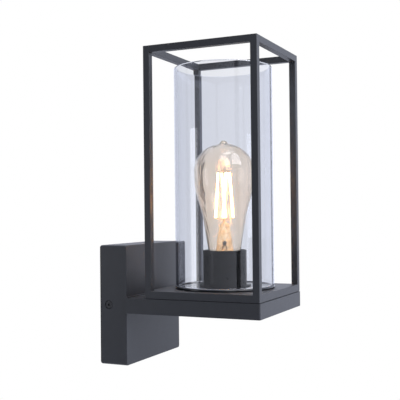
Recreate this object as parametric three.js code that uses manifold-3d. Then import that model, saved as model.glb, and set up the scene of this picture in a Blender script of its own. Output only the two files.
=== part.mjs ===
// Outdoor wall lantern: a wall box, a flat arm tray and an open square frame round a clear glass
// cylinder with a filament bulb. Millimetres, +Z up. The wall is the plane y = 0, the lantern
// stands out towards -Y, and the origin is the middle of the wall bracket's back face.
import * as THREE from "three";
import { mergeVertices } from "three/addons/utils/BufferGeometryUtils.js";
import Module from "manifold-3d";

const wasm = await Module();
wasm.setup();

// ---- driving dimensions ----
const fitGap = 0.3; // clearance between round or cut pieces that touch
const paintGap = 0.05; // painted faces that are screwed together
const sheet = 2; // wall of the die-cast box, tray and plate

const boxWidth = 122; // wall box
const boxHeight = 125;
const boxDepth = 32;
const boxCorner = 2.5;
const gasketThickness = 1;
const gasketWidth = 5;

const bracketThickness = 2; // wall bracket
const bracketMargin = 9; // from the box's inner wall to the plate's edge
const earReach = 17;
const earHeight = 26;
const cableHoleRadius = 12;
const cableHoleHeight = -28;
const slotWidth = 5.6;
const slotLength = 14;
const slotInset = 16; // from the plate's edge to a slot's middle

const sideScrewFromWall = 10.5;
const sideScrewHeadRadius = 4.2;
const sideScrewRadius = 2.4;
const sideBossRadius = 7;
const sideBossLength = 4;

const armGap = 23; // from the box's front face to the frame
const trayHeight = 15.7;
const trayProud = 0.6; // how far the tray's sides stand out past the frame
const trayLip = 1.2; // raised rear edge that meets the box
const coverThickness = 1.5;

const glassDiameter = 104.6; // clear cylinder
const glassWall = 2.6;
const glassToFrame = 3.2;
const glassBelowTop = 18.5; // from the frame's top to the glass's rim

const frameHeight = 252; // from the base plate's top face
const postSize = 7;
const plateHeight = 8.1;
const seamGap = 0.4; // shadow gap between the plate's skirt and the tray
const cornerBossRadius = 5;
const cornerBossInset = 12;

const seatFoot = 1; // round seat under the glass
const seatFlange = 1.2;
const seatOverhang = 3.5;
const silicone = 0.8;
const seatLipHeight = 0.8; // low register that centres the glass

const holderDiameter = 46.5; // lampholder cover
const holderHeight = 37.8;
const holderWall = 1.5;
const holderFlange = 4;
const nippleRadius = 5;
const nippleBore = 4.2;

const capRadius = 13.2; // screw cap of the bulb
const capLength = 21;
const shellWall = 0.8;
const shellClearance = 0.7;
const bulbDiameter = 64;
const bulbLength = 143.1;
const bulbWall = 0.8;
const bulbNeckRadius = 17.9;
const domeRise = 29; // from the widest ring to the dome's top
const pipHeight = 3.3; // sealed tip on the dome
const pipRadius = 4.5;
const filamentRadius = 1.3; // with its phosphor coat
const filamentLength = 48;
const filamentCount = 4;
const filamentFoot = 9.5; // distance from the axis at the lower end
const filamentHead = 6.5;
const filamentTwist = 30; // degrees from foot to head
const supportRadius = 0.5;
const stemFoot = 8.6; // the stem's radius where it leaves the cap
const stemPinch = 6.2; // and at the pinch that seals it
const stemRod = 1.8;
const stemLength = 34; // above the cap's rim

const leadRadius = 1.15;

// ---- places that follow from them ----
const boxFront = -boxDepth;
const boxBack = -gasketThickness;
const trayBack = boxFront - paintGap;
const boxInnerHalf = boxWidth / 2 - sheet;
const frameWidth = glassDiameter + 2 * (glassToFrame + postSize);
const frameHalf = frameWidth / 2;
const trayHalf = frameHalf + trayProud;
const trayTop = trayHeight / 2;
const trayBottom = -trayHeight / 2;
const trayFront = boxFront - armGap - frameWidth - trayProud;
const axisY = boxFront - armGap - frameHalf;
const plateTop = trayTop + plateHeight;
const seatTop = seatFoot + seatFlange;
const glassBottom = seatTop + silicone;
const glassTop = frameHeight - glassBelowTop;
const glassInner = glassDiameter / 2 - glassWall;

// ---- materials ----
const finish = (color, roughness, metalness, extra = {}) =>
  new THREE.MeshStandardMaterial({ color, roughness, metalness, ...extra });
const paint = () => finish(0x2f3136, 0.62, 0.2);
const galvanised = () => finish(0x9da1a5, 0.5, 0.9);
const stainless = () => finish(0xb9bcc0, 0.35, 1);
const rubber = () => finish(0x1a1a1b, 0.9, 0);
const brass = () => finish(0xc6a35a, 0.35, 1);
const plastic = (color) => finish(color, 0.5, 0);
const clearGlass = (color = 0xdfe3ee, opacity = 0.3) =>
  finish(color, 0.05, 0, { transparent: true, opacity });

// ---- solids ----
function toSolid(geometry) {
  const bare = new THREE.BufferGeometry();
  const flat = geometry.index ? geometry.toNonIndexed() : geometry;
  bare.setAttribute("position", flat.getAttribute("position"));
  const merged = mergeVertices(bare, 1e-4);
  return new wasm.Manifold(
    new wasm.Mesh({
      numProp: 3,
      vertProperties: merged.getAttribute("position").array,
      triVerts: new Uint32Array(merged.index.array),
    }),
  );
}

function toGeometry(solid) {
  const mesh = solid.getMesh();
  const geometry = new THREE.BufferGeometry();
  geometry.setAttribute("position", new THREE.BufferAttribute(mesh.vertProperties, 3));
  geometry.setIndex(new THREE.BufferAttribute(mesh.triVerts, 1));
  geometry.computeVertexNormals();
  return geometry;
}

const sum = (first, ...rest) => rest.reduce((all, next) => all.add(next), first);
const minus = (first, ...cuts) => cuts.reduce((left, cut) => left.subtract(cut), first);

// A block from its lowest to its highest corner.
function block(low, high) {
  const size = high.map((value, i) => value - low[i]);
  const middle = high.map((value, i) => (value + low[i]) / 2);
  return toSolid(new THREE.BoxGeometry(...size).translate(...middle));
}

// A round bar along an axis, from one end to the other.
function bar(axis, radius, from, to, across = [0, 0], sides = 16) {
  const low = Math.min(from, to);
  const length = Math.abs(to - from);
  const geometry = new THREE.CylinderGeometry(radius, radius, length, sides);
  if (axis === "x") {
    geometry.rotateZ(Math.PI / 2).translate(low + length / 2, across[0], across[1]);
  } else if (axis === "y") {
    geometry.translate(across[0], low + length / 2, across[1]);
  } else {
    geometry.rotateX(Math.PI / 2).translate(across[0], across[1], low + length / 2);
  }
  return toSolid(geometry);
}

// A solid of revolution about Z from a profile of [radius, height] points.
function turned(points, sides = 36) {
  const profile = points.map(([radius, height]) => new THREE.Vector2(radius, height));
  return toSolid(new THREE.LatheGeometry(profile, sides).rotateX(Math.PI / 2));
}

// A ring or tube about Z: its profile closes on itself.
function ring(inner, outer, low, high, sides = 36) {
  return turned([[inner, low], [outer, low], [outer, high], [inner, high], [inner, low]], sides);
}

// A round-cornered plate in X and Z, from one y to another.
function roundedPlate(width, height, corner, from, to) {
  const w = width / 2;
  const h = height / 2;
  const shape = new THREE.Shape();
  shape.moveTo(-w + corner, -h);
  shape.absarc(w - corner, -h + corner, corner, -Math.PI / 2, 0);
  shape.absarc(w - corner, h - corner, corner, 0, Math.PI / 2);
  shape.absarc(-w + corner, h - corner, corner, Math.PI / 2, Math.PI);
  shape.absarc(-w + corner, -h + corner, corner, Math.PI, 1.5 * Math.PI);
  const low = Math.min(from, to);
  const geometry = new THREE.ExtrudeGeometry(shape, {
    depth: Math.abs(to - from),
    bevelEnabled: false,
    curveSegments: 4,
  });
  return toSolid(geometry.rotateX(Math.PI / 2).translate(0, low + Math.abs(to - from), 0));
}

// A lead along a smooth curve through its points.
function lead(points, steps) {
  const places = points.map((point) => new THREE.Vector3(...point));
  const curve = new THREE.CatmullRomCurve3(places, false, "centripetal");
  const section = new THREE.Shape();
  section.absarc(0, 0, leadRadius, 0, 2 * Math.PI);
  const options = { steps, extrudePath: curve, curveSegments: 4 };
  return toSolid(new THREE.ExtrudeGeometry(section, options));
}

// ---- the group tree ----
const lantern = new THREE.Group();
const lampGroup = new THREE.Group(); // z = 0 is the base plate's top face, on the glass's axis
lampGroup.position.set(0, axisY, plateTop);
lantern.add(lampGroup);

function piece(name, solid, material, parent = lantern, position = [0, 0, 0]) {
  const mesh = new THREE.Mesh(toGeometry(solid), material);
  mesh.name = name;
  mesh.position.set(...position);
  parent.add(mesh);
  return mesh;
}

const sidesOf = [["left", -1], ["right", 1]];

// A pan-head screw: the shank points along +Z from the head's underside at z = 0.
function panScrew(radius, length, headRadius, headHeight) {
  const slot = block([-headRadius, -0.4, -headHeight - 1], [headRadius, 0.4, -headHeight + 0.8]);
  const head = bar("z", headRadius, -headHeight, 0);
  const shank = bar("z", radius, -0.5, length, [0, 0], 10);
  return minus(sum(head, shank), slot);
}

// Turns a solid made along +Z to point along another axis.
const pointed = {
  outwards: (solid) => solid.rotate([90, 0, 0]), // -Y
  left: (solid) => solid.rotate([0, -90, 0]), // -X
  right: (solid) => solid.rotate([0, 90, 0]), // +X
};

// ---- wall bracket ----
const plateHalfX = boxInnerHalf - bracketMargin;
const plateHalfZ = boxHeight / 2 - sheet - bracketMargin;
const earOuter = boxInnerHalf - sideBossLength - fitGap;
const slotX = plateHalfX - slotInset;

function wallBracket() {
  const plate = roundedPlate(2 * plateHalfX, 2 * plateHalfZ, boxCorner, 0, -bracketThickness);
  const ears = sidesOf.map(([, side]) => {
    const outer = side * earOuter;
    const inner = side * (earOuter - bracketThickness);
    const ear = block(
      [Math.min(outer, inner), -earReach, -earHeight / 2],
      [Math.max(outer, inner), 0, earHeight / 2],
    );
    const foot = side * (plateHalfX - bracketMargin);
    return sum(ear, block(
      [Math.min(outer, foot), -bracketThickness, -earHeight / 2],
      [Math.max(outer, foot), 0, earHeight / 2],
    ));
  });
  const slots = sidesOf.map(([, side]) =>
    sum(
      block(
        [side * slotX - (slotLength - slotWidth) / 2, -bracketThickness - 1, -slotWidth / 2],
        [side * slotX + (slotLength - slotWidth) / 2, 1, slotWidth / 2],
      ),
      bar("y", slotWidth / 2, -bracketThickness - 1, 1, [side * slotX - (slotLength - slotWidth) / 2, 0]),
      bar("y", slotWidth / 2, -bracketThickness - 1, 1, [side * slotX + (slotLength - slotWidth) / 2, 0]),
    ),
  );
  const cableHole = bar("y", cableHoleRadius, -bracketThickness - 1, 1, [0, cableHoleHeight]);
  return minus(sum(plate, ...ears), ...slots, cableHole);
}

piece("wall_bracket", wallBracket(), galvanised());

// Split rubber grommet in the bracket's cable hole: a flange on the room side and a neck.
const grommetNeck = cableHoleRadius - fitGap;
const grommetBore = 4.5;
piece(
  "cable_grommet",
  turned([
    [grommetBore, 0],
    [grommetNeck, 0],
    [grommetNeck, bracketThickness + fitGap],
    [grommetNeck + 2.5, bracketThickness + fitGap],
    [grommetNeck + 1.5, bracketThickness + 2.5],
    [grommetBore, bracketThickness + 4],
    [grommetBore, 0],
  ], 24).rotate([90, 0, 0]),
  rubber(),
  lantern,
  [0, 0, cableHoleHeight],
);

// ---- wall box ----
const wireHoleRadius = 7;
const armScrewX = 26;
const armScrewRadius = 2;
const drainWidth = 6;

function canopyHousing() {
  const outer = roundedPlate(boxWidth, boxHeight, boxCorner, boxFront, boxBack - fitGap);
  const inner = roundedPlate(
    boxWidth - 2 * sheet,
    boxHeight - 2 * sheet,
    boxCorner - 1,
    boxFront + sheet,
    1,
  );
  const bosses = sidesOf.map(([, side]) =>
    bar("x", sideBossRadius, side * (boxInnerHalf + sheet / 2), side * (boxInnerHalf - sideBossLength), [
      -sideScrewFromWall,
      0,
    ]),
  );
  const holes = sidesOf.map(([, side]) =>
    sum(
      bar("x", sideScrewHeadRadius + fitGap, side * (boxWidth / 2 + 1), side * (boxInnerHalf - 1), [
        -sideScrewFromWall,
        0,
      ]),
      bar("x", sideScrewRadius + fitGap, side * boxWidth / 2, side * (boxInnerHalf - sideBossLength - 1), [
        -sideScrewFromWall,
        0,
      ]),
    ),
  );
  const armHoles = sidesOf.map(([, side]) =>
    bar("y", armScrewRadius + fitGap, boxFront - 1, boxFront + sheet + 1, [side * armScrewX, 0]),
  );
  const wireHole = bar("y", wireHoleRadius, boxFront - 1, boxFront + sheet + 1);
  const drain = block(
    [-drainWidth / 2, -gasketThickness - 4, -boxHeight / 2 - 1],
    [drainWidth / 2, 1, -boxHeight / 2 + sheet + 1],
  );
  return minus(sum(minus(outer, inner), ...bosses), ...holes, ...armHoles, wireHole, drain);
}

piece("canopy_housing", canopyHousing(), paint());

const gasketHole = roundedPlate(
  boxWidth - 2 * gasketWidth,
  boxHeight - 2 * gasketWidth,
  boxCorner,
  1,
  -gasketThickness - 1,
);
piece(
  "canopy_gasket",
  minus(roundedPlate(boxWidth - 1, boxHeight - 1, boxCorner, 0, -gasketThickness), gasketHole),
  rubber(),
);

// Side screws sit in the box's side bosses and press on the bracket's ears.
sidesOf.forEach(([label, side]) => {
  const headDepth = 2.2;
  const headFace = boxInnerHalf - 1 + fitGap + headDepth;
  const length = headFace - headDepth - earOuter - fitGap;
  const screw = panScrew(sideScrewRadius, length, sideScrewHeadRadius, headDepth);
  piece(
    "side_screw_" + label,
    side < 0 ? pointed.right(screw) : pointed.left(screw),
    stainless(),
    lantern,
    [side * (headFace - headDepth), -sideScrewFromWall, 0],
  );
});

// ---- terminal block on the inside of the box's front wall ----
const blockWidth = 34;
const blockDepth = 13;
const blockHeight = 20;
const blockCentre = 34;
const wayPitch = 10;
const wayRadius = 2;
const blockBack = boxFront + sheet;
const blockOuter = blockBack + blockDepth;
const terminalScrewRadius = 1.6;

function terminalBlock() {
  const body = block(
    [-blockWidth / 2, blockBack, blockCentre - blockHeight / 2],
    [blockWidth / 2, blockOuter, blockCentre + blockHeight / 2],
  );
  const cuts = [-1, 0, 1].flatMap((way) => {
    const x = way * wayPitch;
    const wire = bar(
      "z",
      wayRadius,
      blockCentre - blockHeight / 2 - 1,
      blockCentre + blockHeight / 2 + 1,
      [x, blockBack + 5],
    );
    const screws = [-1, 1].map((row) =>
      bar("y", terminalScrewRadius + fitGap, blockBack + 5, blockOuter + 1, [x, blockCentre + row * 5]),
    );
    return [wire, ...screws];
  });
  const gaps = [-0.5, 0.5].map((way) =>
    block(
      [way * wayPitch - 0.8, blockOuter - 4, blockCentre - blockHeight],
      [way * wayPitch + 0.8, blockOuter + 1, blockCentre + blockHeight],
    ),
  );
  return minus(body, ...cuts, ...gaps);
}

piece("terminal_block", terminalBlock(), plastic(0xe4e2da));
[-1, 0, 1].forEach((way) => {
  [["lower", -1], ["upper", 1]].forEach(([label, row]) => {
    const screw = minus(
      bar("z", terminalScrewRadius, 0, 5),
      block([-2, -0.3, -1], [2, 0.3, 0.6]),
    );
    piece(
      "terminal_screw_" + label + "_" + (way + 2),
      pointed.outwards(screw),
      stainless(),
      lantern,
      [way * wayPitch, blockOuter - 1, blockCentre + row * 5],
    );
  });
});

// ---- arm tray ----
const coverRecess = 0.8;
const coverScrewRadius = 1.7;
const coverBossRadius = 4;
const coverBossInset = 9;
const coverFrontInset = 30; // clear of the frame screws
const rearBossLength = 8;
const frameScrewRadius = 2;
const cornerBossXY = frameHalf - cornerBossInset;
const coverTop = trayBottom + coverRecess + coverThickness;
const coverScrewAt = [
  [-1, boxFront - coverBossInset],
  [1, boxFront - coverBossInset],
  [-1, trayFront + coverFrontInset],
  [1, trayFront + coverFrontInset],
];
const frameCorners = [
  ["rear_left", -1, 1],
  ["rear_right", 1, 1],
  ["front_left", -1, -1],
  ["front_right", 1, -1],
];

function baseTray() {
  const outer = block([-trayHalf, trayFront, trayBottom], [trayHalf, trayBack, trayTop]);
  const inner = block(
    [-trayHalf + sheet, trayFront + sheet, trayBottom - 1],
    [trayHalf - sheet, trayBack - sheet, trayTop - sheet],
  );
  const lip = block([-trayHalf, trayBack - sheet, trayTop - 1], [trayHalf, trayBack, trayTop + trayLip]);
  const coverX = trayHalf - coverBossInset;
  const coverBosses = coverScrewAt.map(([side, y]) =>
    bar("z", coverBossRadius, coverTop, trayTop - 1, [side * coverX, y]),
  );
  const rearBosses = sidesOf.map(([, side]) =>
    bar("y", 4, boxFront - 1, boxFront - rearBossLength, [side * armScrewX, 0]),
  );
  const coverHoles = coverScrewAt.map(([side, y]) =>
    bar("z", coverScrewRadius + fitGap, coverTop - 1, trayTop - sheet - 1, [side * coverX, y]),
  );
  const rearHoles = sidesOf.map(([, side]) =>
    bar("y", armScrewRadius + fitGap, boxFront + 1, boxFront - rearBossLength - 1, [side * armScrewX, 0]),
  );
  const plateHoles = frameCorners.map(([, x, y]) =>
    bar("z", frameScrewRadius + fitGap, 0, trayTop + 1, [x * cornerBossXY, axisY + y * cornerBossXY]),
  );
  const nippleHole = bar("z", nippleRadius + fitGap, 0, trayTop + 1, [0, axisY]);
  const wireHole = bar("y", wireHoleRadius - 1.5, boxFront + 1, boxFront - sheet - 1);
  return minus(
    sum(minus(outer, inner), lip, ...coverBosses, ...rearBosses),
    ...coverHoles,
    ...rearHoles,
    ...plateHoles,
    nippleHole,
    wireHole,
  );
}

piece("base_tray", baseTray(), paint());

const coverEdge = sheet + fitGap;
piece(
  "bottom_cover",
  minus(
    block(
      [-trayHalf + coverEdge, trayFront + coverEdge, trayBottom + coverRecess],
      [trayHalf - coverEdge, boxFront - coverEdge, coverTop],
    ),
    ...coverScrewAt.map(([side, y]) =>
      bar(
        "z",
        coverScrewRadius + fitGap,
        trayBottom - 1,
        coverTop + 1,
        [side * (trayHalf - coverBossInset), y],
      ),
    ),
  ),
  paint(),
);
coverScrewAt.forEach(([side, y], i) => {
  piece(
    "cover_screw_" + (i + 1),
    panScrew(coverScrewRadius, 8, 3.2, 1.6),
    stainless(),
    lantern,
    [side * (trayHalf - coverBossInset), y, trayBottom + coverRecess],
  );
});
sidesOf.forEach(([label, side]) => {
  piece(
    "arm_screw_" + label,
    pointed.outwards(panScrew(armScrewRadius, 9, 3.8, 2.4)),
    stainless(),
    lantern,
    [side * armScrewX, boxFront + sheet, 0],
  );
});

// ---- base plate of the frame ----
function basePlate() {
  const outer = block([-frameHalf, -frameHalf, -plateHeight + seamGap], [frameHalf, frameHalf, 0]);
  const wall = frameHalf - sheet;
  const inner = block([-wall, -wall, -plateHeight - 1], [wall, wall, -sheet]);
  const bosses = frameCorners.map(([, x, y]) =>
    bar("z", cornerBossRadius, -plateHeight, -1, [x * cornerBossXY, y * cornerBossXY]),
  );
  const hub = bar("z", nippleRadius + 4, -plateHeight, -1);
  const holes = frameCorners.map(([, x, y]) =>
    bar("z", frameScrewRadius + fitGap, -plateHeight - 1, -sheet, [x * cornerBossXY, y * cornerBossXY]),
  );
  const nippleHole = bar("z", nippleRadius + fitGap, -plateHeight - 1, 1);
  return minus(sum(minus(outer, inner), ...bosses, hub), ...holes, nippleHole);
}

piece("base_plate", basePlate(), paint(), lampGroup);
frameCorners.forEach(([label, x, y]) => {
  piece(
    "frame_screw_" + label,
    panScrew(frameScrewRadius, plateHeight - 1, 3.6, 2.2),
    stainless(),
    lampGroup,
    [x * cornerBossXY, y * cornerBossXY, -plateHeight - sheet],
  );
});

// ---- frame: four posts and four top bars, welded ----
const postTop = frameHeight - postSize;
const postMiddle = frameHalf - postSize / 2;
frameCorners.forEach(([label, x, y]) => {
  const half = postSize / 2;
  piece(
    "post_" + label,
    block([-half, -half, 0], [half, half, postTop]),
    paint(),
    lampGroup,
    [x * postMiddle, y * postMiddle, 0],
  );
});
sidesOf.forEach(([label, side]) => {
  piece(
    "top_bar_" + label,
    block([-postSize / 2, -frameHalf, 0], [postSize / 2, frameHalf, postSize]),
    paint(),
    lampGroup,
    [side * postMiddle, 0, postTop],
  );
});
[["front", -1], ["rear", 1]].forEach(([label, side]) => {
  const reach = frameHalf - postSize;
  piece(
    "top_bar_" + label,
    block([-reach, -postSize / 2, 0], [reach, postSize / 2, postSize]),
    paint(),
    lampGroup,
    [0, side * postMiddle, postTop],
  );
});

// ---- glass, its seat and its silicone ring ----
const seatRadius = glassDiameter / 2 + 0.5;
const lipOuter = glassInner - 2 * fitGap;
piece(
  "glass_seat",
  turned([
    [nippleRadius + fitGap, 0],
    [seatRadius - seatOverhang, 0],
    [seatRadius - seatOverhang, seatFoot],
    [seatRadius, seatFoot],
    [seatRadius, seatTop],
    [lipOuter, seatTop],
    [lipOuter, seatTop + seatLipHeight],
    [lipOuter - 1.2, seatTop + seatLipHeight],
    [lipOuter - 1.2, seatTop],
    [nippleRadius + fitGap, seatTop],
    [nippleRadius + fitGap, 0],
  ], 48),
  paint(),
  lampGroup,
);
piece(
  "glass_gasket",
  ring(glassInner, glassDiameter / 2, seatTop, glassBottom, 48),
  rubber(),
  lampGroup,
);
piece(
  "glass_cylinder",
  ring(glassInner, glassDiameter / 2, glassBottom, glassTop, 48),
  clearGlass(),
  lampGroup,
);

// ---- lampholder ----
const coverFloor = seatTop + sheet;
const holderTop = seatTop + holderHeight;
const coverInner = holderDiameter / 2 - holderWall;
piece(
  "holder_cover",
  turned([
    [nippleRadius + fitGap, seatTop],
    [holderDiameter / 2 + holderFlange, seatTop],
    [holderDiameter / 2 + holderFlange, coverFloor - 0.6],
    [holderDiameter / 2 + holderFlange - 0.6, coverFloor],
    [holderDiameter / 2, coverFloor],
    [holderDiameter / 2, holderTop],
    [coverInner, holderTop],
    [coverInner, coverFloor],
    [nippleRadius + fitGap, coverFloor],
    [nippleRadius + fitGap, seatTop],
  ]),
  paint(),
  lampGroup,
);

const nippleTop = coverFloor + 3.8;
const socketFloor = nippleTop + 2;
const shellSeat = socketFloor + 4;
const bodyTop = holderTop - 1.5;
const shellInner = capRadius + shellClearance;
const shellOuter = shellInner + shellWall;
const bodyRadius = coverInner - 2 * fitGap;
piece(
  "lampholder_body",
  turned([
    [nippleRadius + fitGap, coverFloor],
    [bodyRadius, coverFloor],
    [bodyRadius, bodyTop - 1],
    [bodyRadius - 1, bodyTop],
    [shellOuter + fitGap, bodyTop],
    [shellOuter + fitGap, shellSeat],
    [capRadius - 0.7, shellSeat],
    [capRadius - 0.7, socketFloor],
    [nippleBore - 0.2, socketFloor],
    [nippleBore - 0.2, nippleTop + fitGap],
    [nippleRadius + fitGap, nippleTop + fitGap],
    [nippleRadius + fitGap, coverFloor],
  ]),
  plastic(0x26262a),
  lampGroup,
);
piece(
  "socket_shell",
  ring(shellInner, shellOuter, shellSeat, bodyTop - 1.5),
  brass(),
  lampGroup,
);

// Threaded nipple and its nut hold the cover, seat and plate to the tray.
const nippleBottom = -plateHeight - sheet - 5;
piece(
  "threaded_nipple",
  ring(nippleBore, nippleRadius, nippleBottom, nippleTop, 32),
  galvanised(),
  lampGroup,
);
piece(
  "nipple_nut",
  minus(
    bar("z", nippleRadius + 3.6, nippleBottom + 1, -plateHeight - sheet, [0, 0], 6),
    bar("z", nippleRadius + fitGap, nippleBottom, -plateHeight),
  ),
  galvanised(),
  lampGroup,
);

// Sprung centre contact of the lampholder, with its guide pin.
const contactTravel = 1.5;
const contactLow = socketFloor + contactTravel + 0.4;
const contactTop = contactLow + 1;
const contactPin = 0.9;
piece(
  "centre_contact",
  turned([
    [0, socketFloor - 1.5],
    [contactPin, socketFloor - 1.5],
    [contactPin, contactLow],
    [5, contactLow],
    [5, contactTop - 0.4],
    [4, contactTop],
    [0, contactTop],
  ], 24),
  brass(),
  lampGroup,
);

// ---- bulb: cap, insulator, tip, envelope, stem, support and filaments ----
const tipLow = contactTop + fitGap;
const capLow = tipLow + 3.8;
const capTop = capLow + capLength;
const capWall = 0.6;
const tipRadius = 4.5;
const insulatorRadius = 10;
const bulbTop = tipLow + bulbLength;
const bulbRadius = bulbDiameter / 2;
const domeTop = bulbTop - pipHeight;
const bulbWaist = domeTop - domeRise; // height of the widest ring

piece(
  "cap_contact",
  turned([
    [0, tipLow],
    [tipRadius - 1.5, tipLow],
    [tipRadius, tipLow + 0.8],
    [tipRadius, tipLow + 1.4],
    [0, tipLow + 1.4],
  ], 24),
  brass(),
  lampGroup,
);
piece(
  "cap_insulator",
  turned([
    [0, tipLow + 1.4],
    [tipRadius + 0.8, tipLow + 1.4],
    [insulatorRadius, capLow],
    [insulatorRadius - 0.4, capLow + 1.5],
    [0, capLow + 1.5],
  ], 32),
  plastic(0x1b1b1d),
  lampGroup,
);
piece(
  "bulb_cap",
  turned([
    [insulatorRadius + fitGap, capLow + 0.4],
    [capRadius - 1.2, capLow],
    [capRadius, capLow + 1.6],
    [capRadius, capTop],
    [capRadius - capWall, capTop],
    [capRadius - capWall, capLow + 1.9],
    [insulatorRadius + fitGap, capLow + 1.2],
    [insulatorRadius + fitGap, capLow + 0.4],
  ], 28),
  brass(),
  lampGroup,
);

// The envelope's outline: a neck inside the cap, a flare over the cap's rim, a long cone, then a dome.
const neckInCap = capRadius - capWall - fitGap;
const envelopeLow = capTop - 5;
const flank = new THREE.SplineCurve([
  new THREE.Vector2(bulbNeckRadius - 0.4, capTop + 3.6),
  new THREE.Vector2(bulbNeckRadius + 0.5, capTop + 9),
  new THREE.Vector2(bulbNeckRadius + (bulbRadius - bulbNeckRadius) * 0.42, (capTop + bulbWaist) / 2 - 2),
  new THREE.Vector2(bulbRadius * 0.955, bulbWaist - 20),
  new THREE.Vector2(bulbRadius, bulbWaist),
]);

function envelopeOutline(inset) {
  const points = [
    [neckInCap - inset, envelopeLow],
    [neckInCap - inset, capTop + 0.4],
    [(neckInCap + bulbNeckRadius) / 2 - inset, capTop + 1 + inset],
  ];
  flank.getPoints(9).forEach((p) => points.push([p.x - inset, p.y]));
  const domeSteps = 7;
  for (let i = 1; i < domeSteps; i += 1) {
    const turn = (i / domeSteps) * (Math.PI / 2);
    points.push([
      (bulbRadius - inset) * Math.cos(turn),
      bulbWaist + (domeRise - inset) * Math.sin(turn),
    ]);
  }
  return points;
}

// The sealed tip is solid glass, so only the outside has it.
const pipOutline = [
  [pipRadius, domeTop - 0.3],
  [pipRadius * 0.8, domeTop + pipHeight * 0.55],
  [pipRadius * 0.45, domeTop + pipHeight * 0.88],
  [0, bulbTop],
];

piece(
  "bulb_envelope",
  turned([
    [0, domeTop - bulbWall],
    ...envelopeOutline(bulbWall).reverse(),
    ...envelopeOutline(0),
    ...pipOutline,
  ], 28),
  clearGlass(0xf0dcb4, 0.3),
  lampGroup,
);

const stemTop = capTop + stemLength;
piece(
  "bulb_stem",
  turned([
    [0, envelopeLow + 1],
    [neckInCap - bulbWall - fitGap, envelopeLow + 1],
    [neckInCap - bulbWall - fitGap - 1, envelopeLow + 3],
    [stemFoot, capTop + 6],
    [stemPinch, stemTop - 7],
    [stemRod, stemTop - 3],
    [stemRod, stemTop],
    [0, stemTop],
  ], 24),
  clearGlass(0xf0dcb4, 0.3),
  lampGroup,
);

// Four filaments stand on spokes of a central rod: they splay and twist towards their feet.
const filamentLow = stemTop + 2;
const filamentTop = filamentLow + filamentLength;
const headTurns = Array.from({ length: filamentCount }, (_, i) => 45 + (360 / filamentCount) * i);
const spoke = (reach, height, turn) =>
  bar("x", supportRadius, 0, reach + 1, [0, height], 8).rotate([0, 0, turn]);
piece(
  "filament_support",
  sum(
    bar("z", supportRadius, stemTop + fitGap, filamentTop + 6, [0, 0], 8),
    ...headTurns.map((turn) => spoke(filamentHead, filamentTop + 2, turn)),
    ...headTurns.map((turn) => spoke(filamentFoot, filamentLow - 1.2, turn - filamentTwist)),
  ),
  stainless(),
  lampGroup,
);
headTurns.forEach((turn, i) => {
  const around = (reach, degrees, height) =>
    new THREE.Vector3(reach, 0, height).applyAxisAngle(
      new THREE.Vector3(0, 0, 1),
      THREE.MathUtils.degToRad(degrees),
    );
  const foot = around(filamentFoot, turn - filamentTwist, filamentLow);
  const along = around(filamentHead, turn, filamentTop).sub(foot);
  const mesh = piece(
    "filament_" + (i + 1),
    bar("z", filamentRadius, 0, along.length(), [0, 0], 10),
    finish(0xffd28a, 0.4, 0),
    lampGroup,
    foot.toArray(),
  );
  mesh.quaternion.setFromUnitVectors(new THREE.Vector3(0, 0, 1), along.normalize());
});

// ---- internal leads and the earth terminal ----
const leadSpread = 2.4; // the two lamp leads pass the nipple side by side
const leadInBlock = blockCentre - blockHeight / 2 + 3;
const leadFloor = coverTop + leadRadius + 0.6;
[["live", -1], ["neutral", 1]].forEach(([label, side]) => {
  const start = side * wayPitch;
  const x = side * leadSpread;
  piece(
    label + "_lead",
    lead([
      [start, blockBack + 5, leadInBlock],
      [start, blockBack + 5, leadInBlock - 8],
      [(start + x) / 2, blockBack + 6, 8],
      [x, boxFront + sheet / 2, 0],
      [x, boxFront - 14, -1.5],
      [x, axisY + 30, leadFloor + 1.5],
      [x, axisY + 9, leadFloor + 0.5],
      [x, axisY + 1, leadFloor + 3],
      [x, axisY, nippleBottom + plateTop + 1.5],
      [x, axisY, plateTop - 4],
      [x, axisY, plateTop + nippleTop - 1.5],
    ], 30),
    plastic(side < 0 ? 0x6a3d22 : 0x2a4f9c),
  );
});

const earthX = 40;
const earthZ = -34;
const earthScrewRadius = 2;
piece(
  "earth_lead",
  lead([
    [0, blockBack + 5, leadInBlock],
    [0, blockBack + 5, leadInBlock - 6],
    [8, blockBack + 12, 12],
    [26, blockBack + 13, -8],
    [earthX, blockBack + 10, earthZ + 16],
    [earthX, blockBack + 4.6, earthZ + 8.5],
  ], 18),
  plastic(0x5f9a35),
);
piece(
  "earth_tag",
  sum(
    ring(earthScrewRadius + fitGap, 5, 0, 1, 24)
      .rotate([90, 0, 0])
      .translate([earthX, blockBack + 4.3, earthZ]),
    block([earthX - 1.6, blockBack + 3.3, earthZ + 4], [earthX + 1.6, blockBack + 4.3, earthZ + 7]),
  ),
  brass(),
);
piece(
  "earth_post",
  sum(
    bar("y", earthScrewRadius, blockBack, blockBack + 7, [earthX, earthZ]),
    bar("y", 4, blockBack, blockBack + 3, [earthX, earthZ], 6),
  ),
  brass(),
);
piece(
  "earth_nut",
  minus(
    bar("y", 3.8, blockBack + 4.5, blockBack + 7.2, [earthX, earthZ], 6),
    bar("y", earthScrewRadius + fitGap, blockBack + 4, blockBack + 8, [earthX, earthZ]),
  ),
  galvanised(),
);

export default lantern;
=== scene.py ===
import math
import bmesh
import bpy
from mathutils import Matrix, Vector


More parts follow.
